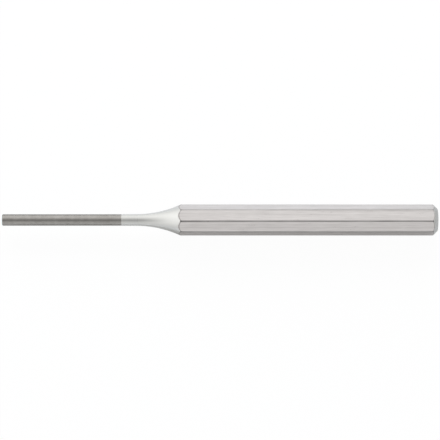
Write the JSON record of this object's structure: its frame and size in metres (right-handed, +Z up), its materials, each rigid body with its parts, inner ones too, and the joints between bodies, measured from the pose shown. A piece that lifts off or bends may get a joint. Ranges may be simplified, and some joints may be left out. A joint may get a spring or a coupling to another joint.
{
  "type": "pin punch",
  "caption": "Straight ground pin on a satin-chromed octagonal steel shank with a hollow flared neck and a crowned head, struck with a hammer to drive pins out of their holes.",
  "frame": {"origin": "middle of the bounding box's base: half way along the punch, on the surface that its lowest flat lies on", "axes": "+X along the punch's axis from the pin to the head, +Z up, square to the flat that it lies on"},
  "size_m": [0.15, 0.01, 0.01],
  "materials": {
    "ground_steel": "chrome vanadium tool steel, ground bare on the pin",
    "satin_chrome": "satin nickel and chromium plating over a drawn and turned surface"
  },
  "bodies": {
    "root": {"steel_body": "ground_steel", "chrome_plating": "satin_chrome"}
  },
  "joints": []
}
